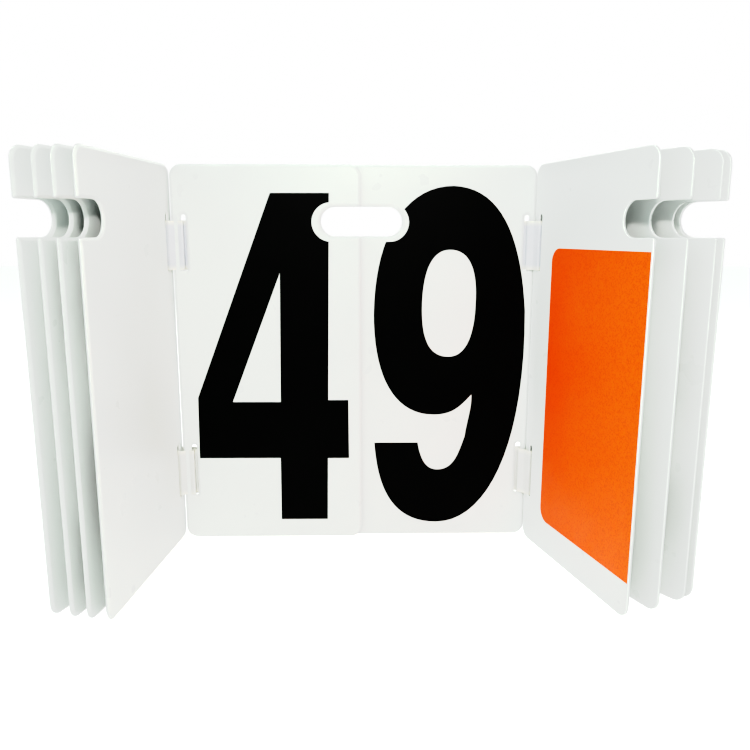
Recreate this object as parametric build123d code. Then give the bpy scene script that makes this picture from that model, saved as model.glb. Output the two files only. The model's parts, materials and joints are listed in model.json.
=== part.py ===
from build123d import *
import os
from math import cos, radians, sin, tan

# Hand-held flip scoreboard: a full-width board with a carrying hole, and two stacks of half-width
# leaves bound to its left and right edges by flexible strap loops, like a book with two spines.
#
# Frame: millimetres, +Z up, +X to the reader's right, -Y towards the reader. The origin is the middle
# of the board's bottom edge, at half the board's thickness. The board and one left leaf show a number,
# and the other leaves stand open towards the reader, so that the scoreboard stands by itself.

# Sheets
SHEET = 4.0            # thickness of the board and of every leaf
PANEL_HEIGHT = 368.3
LEAF_WIDTH = 177.8     # spine edge to free edge
OVERHANG = 11.8        # a closed leaf reaches this far past the board's side edge
CENTRE_GAP = 1.0       # between the free edges of a closed left leaf and a closed right leaf
CORNER_RADIUS = 11.0
EDGE_BEVEL = 1.2       # bevel along every edge of a sheet, on both faces
MOST_BEVEL = 0.45      # a bevel takes at most this share of the sheet from each face
NOTCH_LIP = 2.0        # corner radius where a leaf's notch meets its free edge

# Carrying hole, shared half and half by the notches of the leaves
HOLE_LENGTH = 78.0
HOLE_HEIGHT = 28.0
HOLE_DROP = 52.0       # top edge of the panel to the middle of the hole

# Slots and straps
SLOT_LENGTH = 53.0
SLOT_WIDTH = 5.0
SLOT_SPREAD = 112.5    # middle of a slot above or below the middle of the panel
BOARD_SLOT_INSET = 8.5  # side edge of the board to the middle of its slot
LEAF_SLOT_INSET = 10.5  # spine edge of a leaf to the middle of its slot
STRAP_THICKNESS = 0.8
STRAP_WIDTH = 46.0
STRAP_REST = 0.8       # lower edge of a strap above the lower end of its slots
STRAP_BEND = 0.9       # centre-line bend radius of a strap between the slots
STRAP_TURN = 2.4       # centre-line bend radius of a strap where it turns back
STRAP_STANDOFF = 2.6   # a strap's centre line off the sheets where it turns back

# Clearances
SLIP = 0.4             # between two closed leaves
STRAP_CLEARANCE = 0.3  # a strap to the sheets on both sides of it

# Opening angles in degrees: 0 is closed, flat towards the middle of the board
LEFT_ANGLES = (96.0, 100.0, 103.5, 108.0)
RIGHT_ANGLES = (105.3, 113.8, 122.8, 124.8)
LEFT_NAMES = ("leaf_30", "leaf_20", "leaf_10", "leaf_blank")
RIGHT_NAMES = ("leaf_7", "leaf_5", "leaf_3", "leaf_1")
FLAT_LEAF = "leaf_40"

# Where the innermost open leaf's spine corner rests
LEFT_REST_OUT = 2.5    # outside the flat leaf's spine edge
LEFT_REST_BACK = 4.1   # behind the flat leaf's back face
RIGHT_REST_IN = 1.0    # inside the board's side edge
RIGHT_REST_FRONT = 1.0  # in front of the board's front face

# The flat leaf's own hinge line, from its spine edge and its back face
FLAT_HINGE_IN = 2.3
FLAT_HINGE_FRONT = 0.7

BOARD_GAP = STRAP_THICKNESS + 2 * STRAP_CLEARANCE   # a strap runs between the board and a closed leaf
CLOSED_SPINE = CENTRE_GAP / 2 + LEAF_WIDTH          # spine edge of a closed leaf from the middle
BOARD_WIDTH = 2 * (CLOSED_SPINE - OVERHANG)
BOARD_FRONT = -SHEET / 2
BOARD_BACK = SHEET / 2
HOLE_Z = PANEL_HEIGHT - HOLE_DROP
SLOT_HEIGHTS = {"lower": PANEL_HEIGHT / 2 - SLOT_SPREAD, "upper": PANEL_HEIGHT / 2 + SLOT_SPREAD}
SIDES = {"left": -1, "right": 1}


def along(side, angle):
    """Direction from a leaf's spine edge to its free edge."""
    turn = radians(angle)
    return Vector(-side * cos(turn), -sin(turn), 0)


def outward(side, angle):
    """Direction from a leaf's inner face to its outer face."""
    turn = radians(angle)
    return Vector(side * sin(turn), -cos(turn), 0)


def hinge_between(side, closed, opened, angle):
    """The upright line that carries a spine corner from its closed to its opened place."""
    step = opened - closed
    across = Vector(step.Y, -step.X, 0) * side
    return (closed + opened) / 2 - across / (2 * tan(radians(angle) / 2))


def bevelled_sheet(outline, plane, amount):
    """A sheet of plastic with its outline and its holes bevelled on both faces."""
    solid = extrude(plane * outline, amount=amount).solid()
    rims = [edge for face in solid.faces().filter_by(plane) for edge in face.edges()]
    return solid.chamfer(min(EDGE_BEVEL, SHEET * MOST_BEVEL), None, rims)


def slot_cuts(x):
    """The two upright strap slots of a panel."""
    cut = SlotOverall(SLOT_LENGTH, SLOT_WIDTH, rotation=90)
    return [Pos(x, z) * cut for z in SLOT_HEIGHTS.values()]


def board():
    """The full-width board, with the carrying hole and a pair of slots near each side edge."""
    outline = Pos(0, PANEL_HEIGHT / 2) * RectangleRounded(BOARD_WIDTH, PANEL_HEIGHT, CORNER_RADIUS)
    outline -= Pos(0, HOLE_Z) * SlotOverall(HOLE_LENGTH, HOLE_HEIGHT)
    for side in SIDES.values():
        outline -= slot_cuts(side * (BOARD_WIDTH / 2 - BOARD_SLOT_INSET))
    return bevelled_sheet(outline, Plane((0, BOARD_BACK, 0), x_dir=(1, 0, 0), z_dir=(0, -1, 0)), SHEET)


def leaf_outline():
    """A leaf laid flat: spine edge on the Y axis, free edge with its half of the carrying hole."""
    panel = Pos(LEAF_WIDTH / 2, PANEL_HEIGHT / 2) * Rectangle(LEAF_WIDTH, PANEL_HEIGHT)
    panel -= Pos(CLOSED_SPINE, HOLE_Z) * SlotOverall(HOLE_LENGTH, HOLE_HEIGHT)
    corners = [v for v in panel.vertices() if v.Y < SHEET or v.Y > PANEL_HEIGHT - SHEET]
    panel = fillet(corners, CORNER_RADIUS)
    lips = [v for v in panel.vertices()
            if v.X > LEAF_WIDTH - NOTCH_LIP / 2 and abs(v.Y - HOLE_Z) < HOLE_HEIGHT]
    panel = fillet(lips, NOTCH_LIP)
    panel -= slot_cuts(LEAF_SLOT_INSET)
    return panel


def leaf(side, spine, angle):
    """A leaf whose inner spine corner stands at a point, turned to its opening angle."""
    direction = along(side, angle)
    plane = Plane(spine, x_dir=direction, z_dir=direction.cross(Vector(0, 0, 1)))
    return bevelled_sheet(leaf_outline(), plane, -side * SHEET)


def leaf_layout(side):
    """Name, spine corner, opening angle and hinge line of each leaf, from the board outwards."""
    name = "left" if side < 0 else "right"
    rows = []
    closed = Vector(side * CLOSED_SPINE, BOARD_FRONT - BOARD_GAP, 0)
    if name == "left":
        hinge = closed + Vector(FLAT_HINGE_IN, -FLAT_HINGE_FRONT, 0)
        rows.append((FLAT_LEAF, closed, 0.0, hinge))
        opened = closed + Vector(-LEFT_REST_OUT, LEFT_REST_BACK, 0)
        closed = closed - Vector(0, SHEET + SLIP, 0)
        names, angles = LEFT_NAMES, LEFT_ANGLES
    else:
        opened = Vector(BOARD_WIDTH / 2 - RIGHT_REST_IN, BOARD_FRONT - RIGHT_REST_FRONT, 0)
        names, angles = RIGHT_NAMES, RIGHT_ANGLES
    rows.append((names[0], opened, angles[0], hinge_between(side, closed, opened, angles[0])))
    for leaf_name, angle in zip(names[1:], angles[1:]):
        inner_spine, inner_angle = rows[-1][1:3]
        hinge = inner_spine + outward(side, inner_angle) * (SHEET + SLIP / 2)
        rows.append((leaf_name, hinge + outward(side, angle) * SLIP / 2, angle, hinge))
    return rows


def strap_route(side):
    """Plan view of one strap loop, as corner points and a bend radius at each: forward through the
    board's slot, outward through the slot of every leaf, and back round the outside of the spines."""
    slot_x = side * (BOARD_WIDTH / 2 - BOARD_SLOT_INSET)
    off_sheet = STRAP_CLEARANCE + STRAP_THICKNESS / 2
    behind_board = Vector(slot_x, BOARD_BACK + STRAP_STANDOFF)
    before_board = Vector(slot_x, BOARD_FRONT - off_sheet)
    inner_run = [before_board]
    rows = leaf_layout(side)
    if rows[0][0] == FLAT_LEAF:
        flat_slot_x = rows.pop(0)[1].X - side * LEAF_SLOT_INSET
        before_flat_leaf = BOARD_FRONT - BOARD_GAP - SHEET - off_sheet
        inner_run.append(Vector(flat_slot_x, BOARD_FRONT - off_sheet))
        inner_run.append(Vector(flat_slot_x, before_flat_leaf))
    middles = [spine + along(side, angle) * LEAF_SLOT_INSET + outward(side, angle) * SHEET / 2
               for _, spine, angle, _ in rows]
    into_first = outward(side, rows[0][2]) * (SHEET / 2 + off_sheet)
    out_of_last = outward(side, rows[-1][2]) * (SHEET / 2 + STRAP_STANDOFF)
    round_spine = along(side, rows[-1][2]) * (LEAF_SLOT_INSET + STRAP_STANDOFF)
    inner_run.append(middles[0] - into_first)
    inner_run.extend(middles)
    outer_run = [middles[-1] + out_of_last, middles[-1] + out_of_last - round_spine, behind_board]
    return inner_run + outer_run, [STRAP_BEND] * len(inner_run) + [STRAP_TURN] * len(outer_run)


def strap(side, height):
    """One closed strap loop of flexible strip, standing in the slots at one height."""
    corners, radii = strap_route(side)
    points = [(p.X, p.Y) for p in corners]
    loop = make_face(FilletPolyline(*points, radius=radii, close=True))
    band = offset(loop, STRAP_THICKNESS / 2) - offset(loop, -STRAP_THICKNESS / 2)
    foot = SLOT_HEIGHTS[height] - SLOT_LENGTH / 2 + STRAP_REST
    return extrude(Pos(0, 0, foot) * band, amount=STRAP_WIDTH)


def build():
    """Every node of the scoreboard by name."""
    nodes = {"back_board": board()}
    for side_name, side in SIDES.items():
        for name, spine, angle, hinge in leaf_layout(side):
            nodes[name] = leaf(side, spine, angle)
            print(f"{name}: hinge at x {hinge.X:.3f} y {hinge.Y:.3f}, open {angle}")
        for height in SLOT_HEIGHTS:
            nodes[f"{height}_{side_name}_strap"] = strap(side, height)
    return nodes


os.makedirs("parts", exist_ok=True)
for node_name, shape in build().items():
    shape.label = node_name
    export_step(shape, f"parts/{node_name}.step")
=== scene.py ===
import json
from math import atan2, ceil, cos, hypot, inf, pi, radians, sin, tan

import bmesh
import bpy
from mathutils import Matrix, Vector


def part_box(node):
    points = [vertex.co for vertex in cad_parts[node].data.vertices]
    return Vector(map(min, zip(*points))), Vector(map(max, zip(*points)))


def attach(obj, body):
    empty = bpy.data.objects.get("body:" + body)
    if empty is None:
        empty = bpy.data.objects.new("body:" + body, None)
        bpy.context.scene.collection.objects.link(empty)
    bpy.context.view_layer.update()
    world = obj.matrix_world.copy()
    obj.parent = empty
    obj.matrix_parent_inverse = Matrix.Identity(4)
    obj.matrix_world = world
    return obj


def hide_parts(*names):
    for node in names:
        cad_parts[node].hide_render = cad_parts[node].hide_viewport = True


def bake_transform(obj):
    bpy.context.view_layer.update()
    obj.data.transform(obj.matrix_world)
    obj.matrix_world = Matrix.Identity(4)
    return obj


# Looks of the flip scoreboard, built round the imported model.
#
# Every sheet, numeral and colour panel is drawn on a page: the closed scoreboard seen by its reader, in
# millimetres, x to the right from the middle, z up from the bottom edge, height towards the reader from
# the back face of the sheet. page_of() reads from a sheet's solid how that page lies on the opened sheet.

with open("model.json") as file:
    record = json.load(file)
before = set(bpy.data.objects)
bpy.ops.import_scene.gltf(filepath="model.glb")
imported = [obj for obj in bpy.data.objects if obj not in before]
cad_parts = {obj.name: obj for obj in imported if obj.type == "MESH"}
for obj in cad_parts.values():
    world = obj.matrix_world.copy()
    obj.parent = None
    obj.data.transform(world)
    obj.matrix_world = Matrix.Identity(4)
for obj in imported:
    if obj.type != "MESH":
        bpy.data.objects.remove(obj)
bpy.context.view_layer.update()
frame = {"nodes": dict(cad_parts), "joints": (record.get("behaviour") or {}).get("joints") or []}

MM = 0.001
UP = Vector((0, 0, 1))

SIDES = {"left": -1, "right": 1}
LEAVES = {"left": ("leaf_40", "leaf_30", "leaf_20", "leaf_10", "leaf_blank"),
          "right": ("leaf_7", "leaf_5", "leaf_3", "leaf_1")}

# Sheets, in millimetres
SHEET = 4.0
PANEL_HEIGHT = 368.3
LEAF_WIDTH = 177.8
CLOSED_SPINE = 178.3        # middle of the closed scoreboard to a leaf's spine edge
BOARD_HALF = 166.5
CORNER_RADIUS = 11.0
HOLE_LENGTH = 78.0
HOLE_HEIGHT = 28.0
HOLE_Z = 316.3
NOTCH_LIP = 2.0
SLOT_LENGTH = 53.0
SLOT_WIDTH = 5.0
SLOT_HEIGHTS = (71.65, 296.65)
BOARD_SLOT_INSET = 8.5
LEAF_SLOT_INSET = 10.5
SEAM_LEAVES = ("leaf_40", "leaf_30")
SEAM_CLOSER = 0.6           # the spines of these two, at the open left seam, each reach this much further

# Sloping margin of a moulded sheet: wider along the face than it is deep
MARGIN_WIDTH = 2.5
MARGIN_DEPTH = 1.7
MARGIN_SOFT = 0.7           # radius where it turns into the edge; it meets the face in a crisp line
CRISP_SHARE = 0.28          # share of both on the face where a mould parts: the back of the right leaves
CRISP_RIM_HIGHLIGHT = 2.0            # a crisp rim is painted this much whiter, a painted highlight along it
TIGHT_SHARE = 0.8           # the margin takes at most this share of a corner's radius
TIGHT_TURN = radians(1)     # an outline that turns more than this at a point is a corner there
MITRE = 0.5                 # least cosine that a corner's way in is stretched by
EASE = 4.0                  # the margin narrows over this length towards a tight corner

# Outlines
ARC_STEP = radians(9)       # widest turn between two points of an arc
STRAIGHT = radians(0.5)     # a corner that turns less than this stays as it is
SAME_POINT = 1e-3           # two points nearer than this are one
CURVE_STEPS = 18            # points along a pen curve

# Straps
STRAP_THICKNESS = 0.8
STRAP_WIDTH = 46.0
STRAP_EDGE = 0.35           # rounding along the strap's edges
STRAP_FEET = (45.95, 270.95)
STRAP_BEND = 0.9
STRAP_TURN = 2.4
STRAP_STANDOFF = 2.55
STRAP_OFF_SHEET = 0.7
STRAP_PULL = 0.7            # it lies this far from the middle of each slot, pulled towards the spine
STRAP_BOW = {"left": 2.2, "right": 1.6}   # how far the stretch to the first open leaf bows to the reader
STRAP_RIDGE = 0.5           # where along that stretch it is bent
STRAP_BULGE = 3.4           # behind the board it bulges this far towards the middle before it turns back
STRAP_STEP = 0.7            # longest run of a strap between two of its cross-sections
STRAP_ARC_STEP = radians(12)

# How far from the middle each leaf takes over the run behind the spines: the board's end of each zone,
# and last the place where the run follows the outermost leaf alone.
BACK_ZONES = {"left": (166.0, 184.0, 188.0, 191.0, 194.0, 197.0),
              "right": (161.0, 168.0, 171.5, 175.5, 179.5)}

# Printed film
FILM = 0.12                 # how far it stands off the sheet
FILM_SINK = 0.1             # how far it reaches into the sheet
BARE_BAND = (-47.0, 45.3, 297.5, 334.0)   # left, right, bottom and top of the unprinted band round the hole
BAND_FLAT = 0.01            # a straight left between the band's two round ends
PANEL_INSET = 35.0          # spine edge to the colour panel
PANEL_BOTTOM, PANEL_TOP = 31.0, 292.4
PANEL_RADIUS = 12.5
PANELS = {"leaf_7": (1, 177.05), "leaf_40": (-1, 175.2)}   # side, and spine edge to the panel's free edge

# Studio
AIM = (0.0, 0.0, 0.18)
SURROUND = 0.22             # strength of the grey surround on the object
MIRRORED = 0.12             # its strength in reflections
FLOOR_REACH = 6.0
FLOOR_SEEN, FLOOR_GLOW = 0.6, 0.2   # what the floor's own light adds where it is seen, and everywhere


# ---------------------------------------------------------------- materials

def node(tree, kind, settings=None, **inputs):
    """A shader or geometry node with its settings, and its inputs as values or links."""
    made = tree.nodes.new(kind)
    for name, value in (settings or {}).items():
        setattr(made, name, value)
    for name, value in inputs.items():
        socket = made.inputs[int(name[1:])] if name[0] == "n" and name[1:].isdigit() else made.inputs[name]
        if isinstance(value, bpy.types.NodeSocket):
            tree.links.new(value, socket)
        else:
            socket.default_value = value
    return made


def new_material(name):
    """A named material with its node tree and its principled shader."""
    material = bpy.data.materials.new(name)
    material.use_nodes = True
    tree = material.node_tree
    return material, tree, tree.nodes["Principled BSDF"]


def placed(tree, scale=(1, 1, 1), turn=(0, 0, 0)):
    """Object coordinates, stretched and turned by a Mapping node."""
    coordinates = tree.nodes.new("ShaderNodeTexCoord")
    mapping = node(tree, "ShaderNodeMapping", Vector=coordinates.outputs["Object"], Scale=scale, Rotation=turn)
    return mapping.outputs["Vector"]


def along_axis(tree, vector, axis):
    """One coordinate of a vector."""
    return node(tree, "ShaderNodeSeparateXYZ", Vector=vector).outputs[axis]


def painted(tree, name):
    """A value that the mesh carries at its points."""
    return node(tree, "ShaderNodeAttribute", {"attribute_name": name}).outputs["Fac"]


def reckoned(tree, operation, *values):
    """One step of arithmetic on shader values."""
    inputs = {f"n{i}": value for i, value in enumerate(values)}
    return node(tree, "ShaderNodeMath", {"operation": operation}, **inputs).outputs[0]


def noise(tree, vector, scale, detail=2.0, roughness=0.5):
    """Noise texture value."""
    made = node(tree, "ShaderNodeTexNoise", Vector=vector, Scale=scale, Detail=detail, Roughness=roughness)
    return made.outputs["Fac"]


def between(tree, value, low, high, start, end):
    """A value from low to high, mapped to start to end and held at both."""
    made = node(tree, "ShaderNodeMapRange", {"clamp": True}, n0=value, n1=low, n2=high, n3=start, n4=end)
    return made.outputs[0]


def mixed(tree, share, colour_a, colour_b):
    """Two colours, mixed by a share."""
    made = node(tree, "ShaderNodeMix", {"data_type": "RGBA"}, n0=share)
    for socket, colour in ((made.inputs[6], colour_a), (made.inputs[7], colour_b)):
        if isinstance(colour, bpy.types.NodeSocket):
            tree.links.new(colour, socket)
        else:
            socket.default_value = (*colour, 1.0)
    return made.outputs[2]


def bumped(tree, layers):
    """A normal with several bumps on each other, as (height value, depth in metres)."""
    normal = None
    for height, depth in layers:
        inputs = {"Height": height, "Distance": depth, "Strength": 1.0}
        if normal is not None:
            inputs["Normal"] = normal
        normal = node(tree, "ShaderNodeBump", **inputs).outputs["Normal"]
    return normal


def surface(tree, shader, colour, roughness, bumps, ior):
    """Colour, roughness, bumps and refraction on the shader."""
    tree.links.new(colour, shader.inputs["Base Color"])
    tree.links.new(roughness, shader.inputs["Roughness"])
    tree.links.new(bumped(tree, bumps), shader.inputs["Normal"])
    shader.inputs["IOR"].default_value = ior


def white_sheet_material():
    """Moulded white plastic: faint uneven tone, orange-peel gloss, fine scuffs, and rims lightened partly by
    wear and partly by painted highlight.
    """
    cool, warm, speck_grey = (0.770, 0.800, 0.776), (0.790, 0.815, 0.794), (0.70, 0.73, 0.705)
    scuff_grey, rim_lightening_tint, rim_highlight_white = (0.70, 0.71, 0.70), (0.86, 0.87, 0.86), (0.95, 0.97, 0.95)
    material, tree, shader = new_material("white_sheet")
    here = placed(tree)
    cloudy = mixed(tree, between(tree, noise(tree, here, 7.0, 3.0), 0.35, 0.65, 0.0, 1.0), cool, warm)
    specks = noise(tree, here, 2600.0, 1.0)
    speckled = mixed(tree, between(tree, specks, 0.62, 0.75, 0.0, 0.35), cloudy, speck_grey)
    scratches = noise(tree, placed(tree, (420.0, 420.0, 14.0), (0.35, 0.2, 0.1)), 1.0, 3.0, 0.6)
    patches = noise(tree, here, 19.0, 2.0)
    scuffs = reckoned(tree, "MULTIPLY", between(tree, scratches, 0.66, 0.74, 0.0, 1.0),
                      between(tree, patches, 0.52, 0.68, 0.0, 0.05))
    worn = mixed(tree, scuffs, speckled, scuff_grey)
    rim = painted(tree, "rim")
    rim_lightening_patches = between(tree, noise(tree, here, 60.0, 3.0), 0.45, 0.7, 0.0, 0.35)
    # Rims lightened in noisy patches towards the edge: partly wear, partly a painted highlight on the edge
    # bands.
    rims_lightened = mixed(tree, reckoned(tree, "MULTIPLY", rim, rim_lightening_patches), worn, rim_lightening_tint)
    # The crisp back rims of the right leaves are painted near white: a painted highlight.
    colour = mixed(tree, between(tree, rim, 1.05, 1.5, 0.0, 0.85), rims_lightened, rim_highlight_white)
    gloss = between(tree, noise(tree, here, 38.0, 3.0), 0.3, 0.7, 0.27, 0.36)
    peel = noise(tree, here, 520.0, 2.0)
    sway = noise(tree, here, 11.0, 1.0)
    surface(tree, shader, colour, reckoned(tree, "ADD", gloss, scuffs),
            [(peel, 0.000012), (sway, 0.0005), (scuffs, -0.00001)], 1.49)
    return material


def strap_material():
    """Slightly cloudy flexible strip, yellower in the lower pair, with a painted cream highlight towards its
    two edges.
    """
    dim_blue, pale_blue = (0.60, 0.61, 0.675), (0.65, 0.66, 0.715)
    ivory, cream_edge_highlight = (0.72, 0.715, 0.65), (0.86, 0.84, 0.72)
    material, tree, shader = new_material("strap_plastic")
    here = placed(tree)
    upper = mixed(tree, between(tree, noise(tree, here, 90.0, 3.0), 0.3, 0.7, 0.0, 1.0), dim_blue, pale_blue)
    body = mixed(tree, between(tree, along_axis(tree, here, "Z"), 0.09, 0.26, 0.7, 0.0), upper, ivory)
    edge = reckoned(tree, "ABSOLUTE", painted(tree, "strap_edge"))
    # Cream towards both edges of each strap: a painted highlight.
    colour = mixed(tree, between(tree, edge, 0.78, 0.97, 0.0, 0.9), body, cream_edge_highlight)
    gloss = between(tree, noise(tree, here, 140.0, 2.0), 0.3, 0.7, 0.34, 0.46)
    draw_lines = noise(tree, placed(tree, (60.0, 60.0, 900.0)), 1.0, 2.0)
    dimples = noise(tree, here, 260.0, 2.0)
    surface(tree, shader, colour, gloss, [(draw_lines, 0.00001), (dimples, 0.00002)], 1.52)
    shader.inputs["Subsurface Weight"].default_value = 0.12
    shader.inputs["Subsurface Radius"].default_value = (0.002, 0.002, 0.0022)
    shader.inputs["Subsurface Scale"].default_value = 1.0
    return material


def numeral_material():
    """Satin black film with a fine grain and a faint painted grey sheen in random patches."""
    black, charcoal, painted_sheen_grey = (0.0004, 0.0007, 0.0006), (0.0011, 0.0015, 0.0014), (0.003, 0.0042, 0.0037)
    material, tree, shader = new_material("black_numeral")
    here = placed(tree)
    grain = noise(tree, here, 1500.0, 2.0)
    base = mixed(tree, between(tree, grain, 0.4, 0.65, 0.0, 1.0), black, charcoal)
    sheen_patches = noise(tree, here, 14.0, 3.0)
    # Faint greenish grey in random patches: a painted sheen.
    colour = mixed(tree, between(tree, sheen_patches, 0.5, 0.75, 0.0, 0.35), base, painted_sheen_grey)
    gloss = between(tree, noise(tree, here, 55.0, 3.0), 0.3, 0.7, 0.40, 0.52)
    surface(tree, shader, colour, gloss, [(grain, 0.000006), (noise(tree, here, 12.0, 1.0), 0.0003)], 1.46)
    shader.inputs["Specular IOR Level"].default_value = 0.12
    return material


def orange_material():
    """Fluorescent orange film: fine grain, slow drift, paler towards its outer side, and a faint painted glow
    of its own.
    """
    deep, light = (0.99, 0.070, 0.003), (1.0, 0.088, 0.004)
    pale, grain_red = (1.0, 0.116, 0.006), (0.74, 0.045, 0.002)
    material, tree, shader = new_material("orange_panel")
    here = placed(tree)
    base = mixed(tree, between(tree, noise(tree, here, 8.0, 2.0), 0.35, 0.65, 0.0, 1.0), deep, light)
    # Paler towards the outer side of the panel.
    paler_outwards = mixed(tree, between(tree, along_axis(tree, here, "X"), 0.180, 0.215, 0.0, 0.8), base, pale)
    grain = noise(tree, here, 620.0, 3.0, 0.7)
    colour = mixed(tree, between(tree, grain, 0.42, 0.62, 0.0, 0.8), paler_outwards, grain_red)
    gloss = between(tree, noise(tree, here, 45.0, 3.0), 0.3, 0.7, 0.42, 0.55)
    surface(tree, shader, colour, gloss, [(grain, 0.00001), (noise(tree, here, 12.0, 1.0), 0.0003)], 1.46)
    shader.inputs["Specular IOR Level"].default_value = 0.2
    # A faint orange glow of its own: painted light, as the film is no lamp.
    shader.inputs["Emission Color"].default_value = (1.0, 0.085, 0.01, 1.0)
    shader.inputs["Emission Strength"].default_value = 0.09
    return material


WHITE = white_sheet_material()
STRAP = strap_material()
BLACK = numeral_material()
ORANGE = orange_material()


# ---------------------------------------------------------------- outlines on the page

def rounded(corners, closed=True, turn_step=ARC_STEP):
    """Points of an outline through corners (x, z, radius), with an arc at each corner that has a radius."""
    points = []
    count = len(corners)
    for i, (x, z, radius) in enumerate(corners):
        here = Vector((x, z))
        if radius <= 0 or (not closed and i in (0, count - 1)):
            points.append(here)
            continue
        before = (Vector(corners[i - 1][:2]) - here).normalized()
        after = (Vector(corners[(i + 1) % count][:2]) - here).normalized()
        turn = pi - before.angle(after)
        if turn < STRAIGHT:
            points.append(here)
            continue
        start = here + before * radius * tan(turn / 2)
        middle = here + (before + after).normalized() * radius / cos(turn / 2)
        way = 1 if (-before).cross(after) > 0 else -1
        first = start - middle
        steps = max(3, ceil(turn / turn_step))
        for k in range(steps + 1):
            a = way * turn * k / steps
            turned_to = Vector((first.x * cos(a) - first.y * sin(a), first.x * sin(a) + first.y * cos(a)))
            points.append(middle + turned_to)
    kept = [p for i, p in enumerate(points) if i == 0 or (p - points[i - 1]).length > SAME_POINT]
    if closed and (kept[0] - kept[-1]).length < SAME_POINT:
        kept.pop()
    return kept


def eased(points):
    """A closed outline with extra points near the ends of its long straights."""
    made = []
    for p, q in zip(points, points[1:] + points[:1]):
        made.append(p)
        length = (q - p).length
        if length > 4 * EASE:
            made += [p.lerp(q, EASE / length), q.lerp(p, EASE / length)]
    return made


def turned(points, ccw):
    """The outline in the asked direction, anticlockwise or clockwise."""
    area = sum(p.cross(q) for p, q in zip(points, points[1:] + points[:1]))
    return points if (area > 0) == ccw else points[::-1]


def bar(left, right, bottom, top, radius):
    """A rectangle with rounded corners."""
    return rounded([(left, bottom, radius), (right, bottom, radius), (right, top, radius), (left, top, radius)])


def slots(x):
    """The two strap slots at a distance x from the middle."""
    half_w, half_l = SLOT_WIDTH / 2, SLOT_LENGTH / 2
    return [bar(x - half_w, x + half_w, z - half_l, z + half_l, half_w) for z in SLOT_HEIGHTS]


def leaf_outline(side, longer=0.0):
    """A closed leaf with its half of the carrying hole, its spine edge a little further out if asked."""
    free, spine = CLOSED_SPINE - LEAF_WIDTH, CLOSED_SPINE + longer
    deep, top, low = HOLE_LENGTH / 2, HOLE_Z + HOLE_HEIGHT / 2, HOLE_Z - HOLE_HEIGHT / 2
    corners = [(free, 0, CORNER_RADIUS), (spine, 0, CORNER_RADIUS),
               (spine, PANEL_HEIGHT, CORNER_RADIUS), (free, PANEL_HEIGHT, CORNER_RADIUS),
               (free, top, NOTCH_LIP), (deep, top, HOLE_HEIGHT / 2), (deep, low, HOLE_HEIGHT / 2),
               (free, low, NOTCH_LIP)]
    return rounded([(side * x, z, r) for x, z, r in corners])


# ---------------------------------------------------------------- where each page lies

def matrix_of(right, out, origin):
    """Matrix from page millimetres to metres, from the page's right, its height direction and its origin."""
    matrix = Matrix((right * MM, UP * MM, out * MM)).transposed().to_4x4()
    matrix.translation = origin
    return matrix


def page_of(leaf, side):
    """Where a leaf's page lies, read from its solid and its hinge line."""
    mesh = frame["nodes"][leaf].data
    hinge = next(Vector(j["pos_m"]) for j in frame["joints"] if j["child"] == leaf)
    along = max(mesh.polygons, key=lambda face: face.area).normal.cross(UP).normalized()
    reach = [v.co.dot(along) for v in mesh.vertices]
    if hinge.dot(along) > (min(reach) + max(reach)) / 2:
        along = -along
        reach = [-r for r in reach]
    out = along.cross(UP) * -side
    depth = min(v.co.dot(out) for v in mesh.vertices)
    corner = along * min(reach) + out * depth
    return matrix_of(along * -side, out, corner + along * CLOSED_SPINE * MM)


board_back = Vector((0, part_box("back_board")[1].y, 0))
PAGES = {"back_board": matrix_of(Vector((1, 0, 0)), Vector((0, -1, 0)), board_back)}
for side_name, names in LEAVES.items():
    for leaf_name in names:
        PAGES[leaf_name] = page_of(leaf_name, SIDES[side_name])


# ---------------------------------------------------------------- pieces

def add(name, mesh, body, slot, *nodes):
    """A finished mesh as a piece that rides on a body and stands for CAD nodes."""
    piece = bpy.data.objects.new(name, mesh)
    bpy.context.scene.collection.objects.link(piece)
    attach(piece, body)
    if nodes:
        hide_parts(*nodes)
    return piece


def mesh_from(bm, name, material):
    """The working mesh as a named mesh of one material."""
    mesh = bpy.data.meshes.new(name)
    bm.to_mesh(mesh)
    bm.free()
    mesh.materials.append(material)
    return mesh


def wall(bm, upper, lower, smooth):
    """Faces between two rings of points, the upper ring nearer the reader."""
    for i in range(len(upper)):
        j = (i + 1) % len(upper)
        bm.faces.new((upper[i], lower[i], lower[j], upper[j])).smooth = smooth


def ring_edges(bm, ring):
    """The edges round a ring of points."""
    return [bm.edges.get((ring[i], ring[(i + 1) % len(ring)])) for i in range(len(ring))]


def close_flat(bm, edges, way):
    """A flat face between rings of edges, turned to the reader where way is 1 and away where it is -1."""
    filled = bmesh.ops.triangle_fill(bm, edges=edges, use_beauty=True, normal=(0, 0, way))
    for face in filled["geom"]:
        if isinstance(face, bmesh.types.BMFace):
            face.normal_update()
            face.smooth = False
            if face.normal.z * way < 0:
                face.normal_flip()


def inward(points):
    """For each point of an outline with the material on its left: the way in, and the margin's width."""
    count = len(points)
    ways, widths, gaps = [], [], []
    for i in range(count):
        before, here, after = points[i - 1], points[i], points[(i + 1) % count]
        d0, d1 = here - before, after - here
        n = Vector((-d0.normalized().y - d1.normalized().y, d0.normalized().x + d1.normalized().x)).normalized()
        turn = atan2(d0.cross(d1), d0.dot(d1))
        radius = min(d0.length, d1.length) / turn if turn > TIGHT_TURN else inf
        ways.append(n / max(cos(turn / 2), MITRE))
        widths.append(min(MARGIN_WIDTH, radius * TIGHT_SHARE))
        gaps.append(d1.length)
    slope = MARGIN_WIDTH / EASE
    for _ in range(2):
        for i in range(count):
            widths[i] = min(widths[i], widths[i - 1] + slope * gaps[i - 1],
                            widths[(i + 1) % count] + slope * gaps[i])
    return ways, widths


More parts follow.
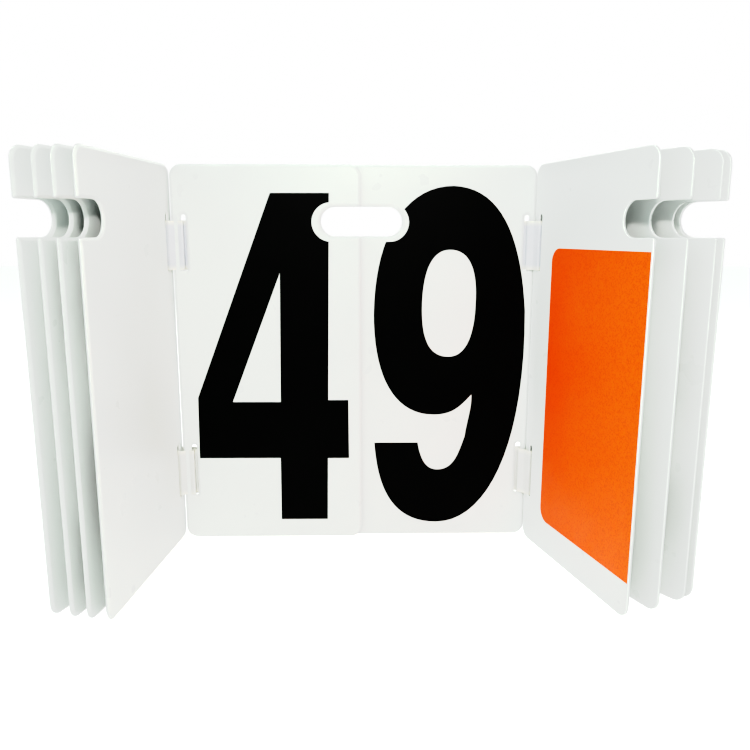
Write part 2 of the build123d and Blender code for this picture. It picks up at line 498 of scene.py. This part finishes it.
def margin_section(back_share):
    """A sheet's edge from its front face to its back face, as (share of the margin's width, height, wear and
    painted highlight).
    """
    slope = rounded([(0, SHEET / 2, 0), (0, MARGIN_DEPTH, MARGIN_SOFT), (MARGIN_WIDTH, 0, 0)], closed=False)
    front = [(p.x / MARGIN_WIDTH, SHEET - p.y, 1 - p.x / MARGIN_WIDTH) for p in reversed(slope)]
    # A crisp back rim is painted whiter near its edge: a painted highlight.
    back_wear_and_highlight = 1.0 if back_share == 1.0 else CRISP_RIM_HIGHLIGHT
    return front + [(p.x / MARGIN_WIDTH * back_share, p.y * back_share, (1 - p.x / MARGIN_WIDTH) * back_wear_and_highlight)
                    for p in slope[1:]]


def moulded_sheet(name, outline, holes, place, back_share=1.0):
    """A sheet with a sloping margin along its outline and round every hole, on its back smaller by a share."""
    bm = bmesh.new()
    rim = bm.verts.layers.float.new("rim")
    page_uv = bm.loops.layers.uv.new("page")
    section = margin_section(back_share)
    front, back = [], []
    for is_hole, loop in [(False, outline)] + [(True, hole) for hole in holes]:
        points = turned(eased(loop), ccw=not is_hole)
        ways, widths = inward(points)
        rings = []
        for share, height, wear_and_highlight in section:
            ring = []
            for p, n, w in zip(points, ways, widths):
                at = p + n * w * share
                vertex = bm.verts.new((at.x, at.y, height))
                vertex[rim] = wear_and_highlight
                ring.append(vertex)
            rings.append(ring)
        for upper, lower in zip(rings, rings[1:]):
            wall(bm, upper, lower, smooth=True)
        front += ring_edges(bm, rings[0])
        back += ring_edges(bm, rings[-1])
    close_flat(bm, front, 1)
    close_flat(bm, back, -1)
    for face in bm.faces:
        for corner in face.loops:
            corner[page_uv].uv = (corner.vert.co.x * MM, corner.vert.co.y * MM)
    bm.transform(place)
    return mesh_from(bm, name, WHITE)


def thin_slab(name, loops, low, high, material):
    """A flat shape between two heights on the page, still in millimetres. The first loop is its outline."""
    bm = bmesh.new()
    front, back = [], []
    for number, loop in enumerate(loops):
        points = turned(loop, ccw=number == 0)
        upper = [bm.verts.new((p.x, p.y, high)) for p in points]
        lower = [bm.verts.new((p.x, p.y, low)) for p in points]
        wall(bm, upper, lower, smooth=False)
        front += ring_edges(bm, upper)
        back += ring_edges(bm, lower)
    close_flat(bm, front, 1)
    close_flat(bm, back, -1)
    return mesh_from(bm, name, material)


def without_bare_band(mesh):
    """The slab with the unprinted band round the carrying hole cut out of it."""
    left, right, bottom, top = BARE_BAND
    band = thin_slab("band", [bar(left, right, bottom, top, (top - bottom) / 2 - BAND_FLAT)],
                     -SHEET, 2 * SHEET, BLACK)
    slab, cutter = (bpy.data.objects.new(m.name, m) for m in (mesh, band))
    for thing in (slab, cutter):
        bpy.context.scene.collection.objects.link(thing)
    cut = slab.modifiers.new("cut", "BOOLEAN")
    cut.operation, cut.solver, cut.object = "DIFFERENCE", "EXACT", cutter
    graph = bpy.context.evaluated_depsgraph_get()
    result = bpy.data.meshes.new_from_object(slab.evaluated_get(graph), depsgraph=graph)
    for thing in (slab, cutter):
        bpy.data.objects.remove(thing)
    result.materials.clear()
    result.materials.append(BLACK)
    return result


def drawn(path):
    """Outline points from a pen path: (x, z) draws a straight line, three pairs in a row a curve."""
    points = []
    for step in path:
        if len(step) == 2:
            points.append(Vector(step))
            continue
        a, (b, c, d) = points[-1], (Vector(step[k:k + 2]) for k in (0, 2, 4))
        for k in range(1, CURVE_STEPS + 1):
            t = k / CURVE_STEPS
            points.append(a * (1 - t) ** 3 + b * 3 * t * (1 - t) ** 2 + c * 3 * t * t * (1 - t) + d * t ** 3)
    return [p for i, p in enumerate(points) if (p - points[i - 1]).length > SAME_POINT]


# Numerals of a condensed bold face, as outline and counters. "4" stands on the left half of the closed
# board, the others are drawn on the right half and shifted for a left leaf.
LEFT_SHIFT = -172.7
NUMERALS = {
    "4": [[(-85.6, 342.5), (-30.3, 342.5), (-33.2, 143.6), (-13.3, 143.6), (-12.9, 83.8), (-34.1, 83.8),
           (-35.0, 19.0), (-82.0, 19.0), (-81.5, 84.0), (-162.3, 84.0), (-161.4, 145.9)],
          [(-78.0, 268.2), (-127.2, 141.8), (-80.1, 141.7)]],
    "9": [[(87.5, 349.5), (131.5, 347.8, 153.0, 305.0, 159.4, 231.1), (165.2, 92.4, 127.0, 13.4, 76.0, 13.4),
           (32.3, 13.4, 15.9, 47.8, 12.4, 98.2), (56.2, 98.2), (59.1, 81.3, 64.2, 69.8, 76.5, 69.8),
           (93.7, 69.8, 97.8, 88.1, 103.4, 104.4), (105.5, 121.9, 110.0, 133.4, 109.2, 147.8),
           (98.0, 135.2, 90.8, 127.2, 71.6, 127.2), (31.3, 127.2, 11.8, 168.3, 11.8, 227.8),
           (12.7, 301.7, 40.3, 349.5, 87.5, 349.5)],
          [(85.0, 290.0), (68.1, 289.8, 59.8, 271.5, 58.8, 238.6), (58.1, 205.2, 65.3, 186.0, 85.4, 186.0),
           (101.5, 186.0, 110.5, 204.5, 110.9, 238.6), (112.2, 272.6, 103.2, 290.2, 85.0, 290.0)]],
    "5": [[(28.0, 342.5), (150.0, 342.5), (150.0, 284.0), (70.5, 284.0), (67.0, 219.0),
           (75.0, 228.0, 88.0, 233.0, 101.0, 233.0), (140.0, 233.0, 159.5, 190.0, 159.5, 128.0),
           (159.5, 60.0, 136.0, 13.3, 84.0, 13.3), (38.0, 13.3, 12.0, 48.0, 11.0, 104.0), (59.0, 104.0),
           (60.0, 83.0, 69.0, 70.5, 84.0, 70.5), (101.0, 70.5, 110.0, 90.0, 110.0, 126.0),
           (110.0, 158.0, 102.0, 176.0, 86.0, 176.0), (74.0, 176.0, 66.0, 168.0, 62.0, 156.0), (18.0, 160.0)]],
    "3": [[(84.0, 350.7), (128.0, 350.7, 154.0, 322.0, 154.0, 268.0),
           (154.0, 226.0, 142.0, 200.0, 119.0, 188.0), (146.0, 176.0, 159.5, 148.0, 159.5, 108.0),
           (159.5, 46.0, 132.0, 13.3, 84.0, 13.3),
           (36.0, 13.3, 10.7, 50.0, 10.7, 112.0), (59.0, 112.0), (59.0, 85.0, 68.0, 70.5, 84.0, 70.5),
           (101.0, 70.5, 110.0, 87.0, 110.0, 116.0), (110.0, 148.0, 98.0, 161.0, 66.0, 161.0), (66.0, 214.0),
           (94.0, 214.0, 105.0, 226.0, 105.0, 254.0), (105.0, 278.0, 98.0, 292.0, 84.0, 292.0),
           (70.0, 292.0, 62.0, 279.0, 62.0, 252.0), (14.0, 252.0), (14.0, 316.0, 38.0, 350.7, 84.0, 350.7)]],
    "2": [[(85.0, 350.7), (130.0, 350.7, 157.0, 318.0, 157.0, 260.0), (157.0, 196.0, 108.0, 150.0, 82.0, 77.0),
           (157.0, 77.0), (157.0, 19.0), (12.0, 19.0), (12.0, 60.0), (30.0, 136.0, 108.0, 196.0, 108.0, 257.0),
           (108.0, 280.0, 100.0, 292.0, 85.0, 292.0), (69.0, 292.0, 61.0, 277.0, 61.0, 244.0), (13.0, 244.0),
           (13.0, 314.0, 40.0, 350.7, 85.0, 350.7)]],
    "1": [[(76.0, 346.0), (113.0, 346.0), (113.0, 19.0), (63.0, 19.0), (63.0, 258.0), (19.0, 258.0),
           (19.0, 296.0), (50.0, 298.0, 68.0, 314.0, 76.0, 346.0)]],
    "7": [[(13.0, 342.5), (158.0, 342.5), (158.0, 291.0), (116.0, 214.0, 90.0, 118.0, 84.0, 19.0), (31.0, 19.0),
           (36.0, 118.0, 62.0, 214.0, 104.0, 282.0), (13.0, 282.0)]],
}


PRINTS = (("9", "back_board", 1), ("5", "back_board", -1),
          ("4", "leaf_40", -1), ("3", "leaf_30", -1), ("2", "leaf_20", -1), ("1", "leaf_10", -1),
          ("7", "leaf_7", 1), ("5", "leaf_5", 1), ("3", "leaf_3", 1), ("1", "leaf_1", 1))


def numeral(digit, carrier, side):
    """A printed numeral on the reader's side of a sheet."""
    shift = Vector((LEFT_SHIFT if side < 0 and digit != "4" else 0.0, 0.0))
    loops = [[p + shift for p in drawn(loop)] for loop in NUMERALS[digit]]
    mesh = without_bare_band(thin_slab("numeral", loops, SHEET - FILM_SINK, SHEET + FILM, BLACK))
    mesh.transform(PAGES[carrier])
    mesh.name = f"{carrier}_{'left' if side < 0 else 'right'}_numeral_{digit}"
    return add(mesh.name, mesh, "board" if carrier == "back_board" else carrier, "black_numeral")


def orange_panel(leaf, side, reach):
    """The colour panel on a leaf's inner face, square to the free edge and rounded towards the spine."""
    free, spine = side * (CLOSED_SPINE - reach), side * (CLOSED_SPINE - PANEL_INSET)
    outline = rounded([(free, PANEL_BOTTOM, 0), (spine, PANEL_BOTTOM, PANEL_RADIUS),
                       (spine, PANEL_TOP, PANEL_RADIUS), (free, PANEL_TOP, 0)])
    mesh = thin_slab(f"{leaf}_orange_panel", [outline], -FILM, FILM_SINK, ORANGE)
    mesh.transform(PAGES[leaf])
    return add(mesh.name, mesh, leaf, "orange_panel")


# ---------------------------------------------------------------- sheets and prints

hole = bar(-HOLE_LENGTH / 2, HOLE_LENGTH / 2, HOLE_Z - HOLE_HEIGHT / 2, HOLE_Z + HOLE_HEIGHT / 2,
           HOLE_HEIGHT / 2)
board_outline = bar(-BOARD_HALF, BOARD_HALF, 0, PANEL_HEIGHT, CORNER_RADIUS)
board_slots = [slot for side in SIDES.values() for slot in slots(side * (BOARD_HALF - BOARD_SLOT_INSET))]
board = moulded_sheet("back_board_sheet", board_outline, [hole] + board_slots, PAGES["back_board"])
add(board.name, board, "board", "white_sheet", "back_board")
for side_name, names in LEAVES.items():
    side = SIDES[side_name]
    leaf_slots = slots(side * (CLOSED_SPINE - LEAF_SLOT_INSET))
    back_share = CRISP_SHARE if side > 0 else 1.0
    for leaf_name in names:
        outline = leaf_outline(side, SEAM_CLOSER if leaf_name in SEAM_LEAVES else 0.0)
        sheet = moulded_sheet(f"{leaf_name}_sheet", outline, leaf_slots, PAGES[leaf_name], back_share)
        add(sheet.name, sheet, leaf_name, "white_sheet", leaf_name)

for digit, carrier, side in PRINTS:
    numeral(digit, carrier, side)
for leaf_name, (side, reach) in PANELS.items():
    orange_panel(leaf_name, side, reach)


# ---------------------------------------------------------------- straps

def strap_tree():
    """Geometry nodes: a strip swept along a plan path, once in the lower and once in the upper slots."""
    tree = bpy.data.node_groups.new("strap_pair", "GeometryNodeTree")
    face = tree.interface
    face.new_socket("Path", in_out="INPUT", socket_type="NodeSocketGeometry")
    for name in ("Width", "Thickness", "Edge Radius", "Lower Middle", "Pair Spacing"):
        face.new_socket(name, in_out="INPUT", socket_type="NodeSocketFloat")
    face.new_socket("Finish", in_out="INPUT", socket_type="NodeSocketMaterial")
    face.new_socket("Straps", in_out="OUTPUT", socket_type="NodeSocketGeometry")
    given = tree.nodes.new("NodeGroupInput").outputs
    path = node(tree, "GeometryNodeMeshToCurve", n0=given["Path"])
    upright = node(tree, "GeometryNodeSetCurveNormal", {"mode": "Z_UP"}, n0=path.outputs[0])
    strip = node(tree, "GeometryNodeCurvePrimitiveQuadrilateral", n0=given["Thickness"], n1=given["Width"])
    soft = node(tree, "GeometryNodeFilletCurve", {"mode": "POLY"}, n0=strip.outputs[0])
    soft.inputs["Count"].default_value = 3
    soft.inputs["Limit Radius"].default_value = True
    tree.links.new(given["Edge Radius"], soft.inputs["Radius"])
    swept = node(tree, "GeometryNodeCurveToMesh", n0=upright.outputs[0])
    tree.links.new(soft.outputs[0], swept.inputs["Profile Curve"])
    swept.inputs["Fill Caps"].default_value = True
    lower = node(tree, "ShaderNodeCombineXYZ", Z=given["Lower Middle"])
    spacing = node(tree, "ShaderNodeCombineXYZ", Z=given["Pair Spacing"])
    heights = node(tree, "GeometryNodeMeshLine", Count=2)
    tree.links.new(lower.outputs[0], heights.inputs["Start Location"])
    tree.links.new(spacing.outputs[0], heights.inputs["Offset"])
    pair = node(tree, "GeometryNodeInstanceOnPoints", Points=heights.outputs[0], Instance=swept.outputs[0])
    real = node(tree, "GeometryNodeRealizeInstances", n0=pair.outputs[0])
    dressed = node(tree, "GeometryNodeSetMaterial", n0=real.outputs[0], Material=given["Finish"])
    tree.links.new(dressed.outputs[0], tree.nodes.new("NodeGroupOutput").inputs[0])
    return tree


STRAP_TREE = strap_tree()


def strap_pair(name, path):
    """The two straps of a side over one stretch of their plan path, given in metres."""
    line = bpy.data.meshes.new(name + "_path")
    line.from_pydata([(p.x, p.y, 0) for p in path], [(i, i + 1) for i in range(len(path) - 1)], [])
    piece = bpy.data.objects.new(name, line)
    bpy.context.scene.collection.objects.link(piece)
    modifier = piece.modifiers.new("straps", "NODES")
    modifier.node_group = STRAP_TREE
    sizes = {"Width": STRAP_WIDTH * MM, "Thickness": STRAP_THICKNESS * MM, "Edge Radius": STRAP_EDGE * MM,
             "Lower Middle": (STRAP_FEET[0] + STRAP_WIDTH / 2) * MM,
             "Pair Spacing": (STRAP_FEET[1] - STRAP_FEET[0]) * MM, "Finish": STRAP}
    for item in STRAP_TREE.interface.items_tree:
        if item.name in sizes:
            modifier[item.identifier] = sizes[item.name]
    graph = bpy.context.evaluated_depsgraph_get()
    mesh = bpy.data.meshes.new_from_object(piece.evaluated_get(graph), depsgraph=graph)
    bpy.data.objects.remove(piece)
    bm = bmesh.new()
    bm.from_mesh(mesh)
    bmesh.ops.remove_doubles(bm, verts=bm.verts, dist=1e-6)
    bmesh.ops.recalc_face_normals(bm, faces=bm.faces)
    edge = bm.verts.layers.float.new("strap_edge")
    middles = [(foot + STRAP_WIDTH / 2) * MM for foot in STRAP_FEET]
    for vertex in bm.verts:
        middle = min(middles, key=lambda m: abs(vertex.co.z - m))
        vertex[edge] = (vertex.co.z - middle) / (STRAP_WIDTH / 2 * MM)
    for face in bm.faces:
        face.smooth = len(face.verts) == 4
    bm.to_mesh(mesh)
    bm.free()
    mesh.name = name
    mesh.materials.clear()
    mesh.materials.append(STRAP)
    return bpy.data.objects.new(name, mesh)


def strap_plan(side_name):
    """A side's strap loop from above as corners (x, y, bend), and where it runs through each leaf."""
    side, names = SIDES[side_name], LEAVES[side_name]
    slot_x = side * (BOARD_HALF - BOARD_SLOT_INSET + STRAP_PULL)
    half, off = SHEET / 2, STRAP_OFF_SHEET
    inset = LEAF_SLOT_INSET - STRAP_PULL
    middles = [PAGES[n] @ Vector((side * (CLOSED_SPINE - inset), 0, half)) / MM for n in names]
    outs = [Vector(PAGES[n].col[2][:3]).normalized() for n in names]
    corners = [(slot_x, 0, 0), (slot_x, -half - off, STRAP_BEND)]
    open_from = 0
    if side_name == "left":
        # The first left leaf lies flat on the board, so the strap passes straight up through it.
        flat = middles[0]
        corners += [(flat.x, -half - off, STRAP_BEND), (flat.x, flat.y, 0),
                    (flat.x, flat.y - half - off, STRAP_BEND)]
        open_from = 1
    entry = middles[open_from] - outs[open_from] * (half + off)
    leaving = Vector((corners[-1][0], corners[-1][1], 0))
    bow = (entry - leaving).cross(UP).normalized() * -side * STRAP_BOW[side_name]
    ridge = leaving.lerp(entry, STRAP_RIDGE) + bow
    corners += [(ridge.x, ridge.y, STRAP_BEND), (entry.x, entry.y, STRAP_BEND)]
    corners += [(m.x, m.y, STRAP_BEND) for m in middles[open_from:]]
    last, out = middles[-1], outs[-1]
    along = Vector(PAGES[names[-1]].col[0][:3]).normalized() * -side
    leaving = last + out * (half + STRAP_STANDOFF)
    behind = leaving - along * (inset + STRAP_STANDOFF)
    bulge_x = slot_x - side * STRAP_BULGE
    corners += [(leaving.x, leaving.y, STRAP_TURN), (behind.x, behind.y, STRAP_TURN),
                (bulge_x, half + STRAP_STANDOFF, STRAP_BEND), (bulge_x, half + off, STRAP_BEND),
                (slot_x, half + off, STRAP_BEND), (slot_x, 0, 0)]
    return corners, middles


def fine_line(corners):
    """The line through the corners, rounded and with a point at least every STRAP_STEP."""
    line = rounded(corners, closed=False, turn_step=STRAP_ARC_STEP)
    fine = [line[0]]
    for p, q in zip(line, line[1:]):
        pieces = max(1, ceil((q - p).length / STRAP_STEP))
        fine += [p.lerp(q, k / pieces) for k in range(1, pieces + 1)]
    return fine


def hang(side_name, stretch, path, body, second=None, start=None, end=None):
    """A stretch of a side's two straps, which rides on a body, or, where a second body is given, stays fixed
    where it is made.
    """
    piece = strap_pair(f"{side_name}_straps_{stretch}", [p * MM for p in path])
    bpy.context.scene.collection.objects.link(piece)
    if second:
        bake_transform(piece)
    else:
        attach(piece, body)
    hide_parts(f"lower_{side_name}_strap", f"upper_{side_name}_strap")


def hang_straps(side_name):
    """All stretches of a side's strap loops, from slot to slot and back round the spines."""
    side, names = SIDES[side_name], LEAVES[side_name]
    bodies = ("board",) + names
    corners, middles = strap_plan(side_name)
    fine = fine_line(corners)
    marks = [0] + [min(range(len(fine) - 1), key=lambda i: hypot(fine[i].x - m.x, fine[i].y - m.y))
                   for m in middles]
    for k, name in enumerate(names):
        path = fine[marks[k]:marks[k + 1] + 1]
        hang(side_name, f"into_{name}", path, bodies[k], name, path[0], path[-1])

    back = fine[marks[-1]:]
    zones = BACK_ZONES[side_name]
    level = SHEET / 2 + STRAP_STANDOFF
    start = next(i for i, p in enumerate(back) if abs(p.x) <= zones[-1] and p.y > 0)
    hang(side_name, f"round_{names[-1]}", back[:start + 1], names[-1])
    for k in reversed(range(len(names))):
        end = next(i for i, p in enumerate(back) if i > start and abs(p.x) <= zones[k])
        path = back[start:end + 1]
        hang(side_name, f"behind_{names[k]}", path, bodies[k], names[k],
             (side * abs(path[-1].x), level), (side * abs(path[0].x), level))
        start = end
    hang(side_name, "behind_board", back[start:], "board")


hang_straps("left")
hang_straps("right")


# ---------------------------------------------------------------- stage, light and camera

def pale_floor():
    """A plain floor that glows a little, so that it comes out as pale as the backdrop."""
    mesh = bpy.data.meshes.new("floor")
    r = FLOOR_REACH
    mesh.from_pydata([(-r, -r, 0), (r, -r, 0), (r, r, 0), (-r, r, 0)], [], [(0, 1, 2, 3)])
    floor = bpy.data.objects.new("floor", mesh)
    bpy.context.scene.collection.objects.link(floor)
    material, tree, shader = new_material("pale_floor")
    shader.inputs["Base Color"].default_value = (0.92, 0.92, 0.92, 1)
    shader.inputs["Roughness"].default_value = 0.9
    shader.inputs["Emission Color"].default_value = (1, 1, 1, 1)
    camera_ray = tree.nodes.new("ShaderNodeLightPath").outputs["Is Camera Ray"]
    glow = reckoned(tree, "MULTIPLY_ADD", camera_ray, FLOOR_SEEN, FLOOR_GLOW)
    tree.links.new(glow, shader.inputs["Emission Strength"])
    mesh.materials.append(material)
    return floor


def studio_world():
    """White backdrop, and a softer grey surround that lights the object."""
    grey = (0.86, 1.0, 0.93, 1.0)
    world = bpy.data.worlds.new("studio")
    world.use_nodes = True
    tree = world.node_tree
    backdrop = tree.nodes["Background"]
    backdrop.inputs["Color"].default_value = (1.0, 1.0, 1.0, 1.0)
    surround = node(tree, "ShaderNodeBackground", Color=grey, Strength=SURROUND)
    mirrored = node(tree, "ShaderNodeBackground", Color=grey, Strength=MIRRORED)
    rays = tree.nodes.new("ShaderNodeLightPath").outputs
    lit = node(tree, "ShaderNodeMixShader", n0=rays["Is Glossy Ray"], n1=surround.outputs[0],
               n2=mirrored.outputs[0])
    both = node(tree, "ShaderNodeMixShader", n0=rays["Is Camera Ray"], n1=lit.outputs[0],
                n2=backdrop.outputs[0])
    tree.links.new(both.outputs[0], tree.nodes["World Output"].inputs["Surface"])
    return world


def set_up(name, data, place, aim):
    """A lamp at its place, turned to what it lights."""
    lamp = bpy.data.objects.new(name, data)
    lamp.location = place
    lamp.rotation_euler = (Vector(aim) - Vector(place)).to_track_quat("-Z", "Y").to_euler()
    bpy.context.scene.collection.objects.link(lamp)


def soft_light(name, place, aim, size, power, colour):
    """A rectangular soft box."""
    data = bpy.data.lights.new(name, "AREA")
    data.shape, data.size, data.size_y = "RECTANGLE", size[0], size[1]
    data.energy, data.color = power, colour
    set_up(name, data, place, aim)


def flash_light(name, place, aim, radius, cone, power, colour):
    """A small round flash whose cone fades to its rim."""
    data = bpy.data.lights.new(name, "SPOT")
    data.energy, data.color = power, colour
    data.shadow_soft_size, data.spot_size, data.spot_blend = radius, cone, 1.0
    set_up(name, data, place, aim)


def aimed_camera(place, yaw, pitch, roll, focal_share):
    """The scene's camera. Its focal length is a share of its picture's width."""
    ahead = Vector((sin(yaw) * cos(pitch), cos(yaw) * cos(pitch), -sin(pitch)))
    level_right = Vector((cos(yaw), -sin(yaw), 0))
    level_up = level_right.cross(ahead)
    right = level_right * cos(roll) + level_up * sin(roll)
    data = bpy.data.cameras.new("camera")
    data.sensor_width = 36.0
    data.lens = focal_share * data.sensor_width
    data.clip_start = 0.01
    camera = bpy.data.objects.new("camera", data)
    camera.matrix_world = Matrix((right, right.cross(ahead), -ahead)).transposed().to_4x4()
    camera.location = place
    bpy.context.scene.collection.objects.link(camera)
    bpy.context.scene.camera = camera


def set_response(points):
    """Camera response under a bright studio light, as pairs of light and shown value."""
    view = bpy.context.scene.view_settings
    view.view_transform = "Standard"
    view.use_curve_mapping = True
    curve = view.curve_mapping.curves[3]
    for light, shown in points:
        curve.points.new(light, shown).handle_type = "AUTO_CLAMPED"
    view.curve_mapping.update()


pale_floor()
bpy.context.scene.world = studio_world()

flash_light("flash", (0.0, -0.72, 0.59), (0.0, 0.0, 0.13), 0.03, radians(80), 11.3, (1.0, 0.985, 0.94))
soft_light("front_light", (0.0, -2.0, 0.35), AIM, (1.2, 0.8), 2.2, (1.0, 0.985, 0.95))
soft_light("top_light", (0.0, -0.05, 1.9), (0.0, -0.05, 0.0), (0.8, 0.6), 11.5, (0.95, 1.0, 0.985))
soft_light("left_fill", (-1.6, -1.2, 0.8), AIM, (1.4, 1.4), 5.1, (0.72, 1.0, 0.98))
soft_light("right_fill", (1.6, -1.2, 0.8), AIM, (1.4, 1.4), 4.2, (0.92, 1.0, 0.80))
soft_light("back_light", (0.0, 1.9, 1.1), AIM, (1.8, 1.0), 9.0, (1.0, 1.0, 1.0))
soft_light("right_light", (1.2, -0.3, 0.35), (0.25, -0.17, 0.2), (0.25, 0.5), 2.2, (1.0, 1.0, 1.0))
aimed_camera((0.00375, -0.7064, 0.3063), radians(0.76), radians(11.13), radians(0.06), 724.86 / 750)

# Deep blacks, and highlights rolled off below the backdrop
set_response(((0.005, 0.0004), (0.01, 0.0012), (0.02, 0.004), (0.05, 0.038), (0.1, 0.135), (0.22, 0.37),
              (0.36, 0.58), (0.5, 0.725), (0.6, 0.775), (0.7, 0.81), (0.8, 0.85), (0.88, 0.895)))
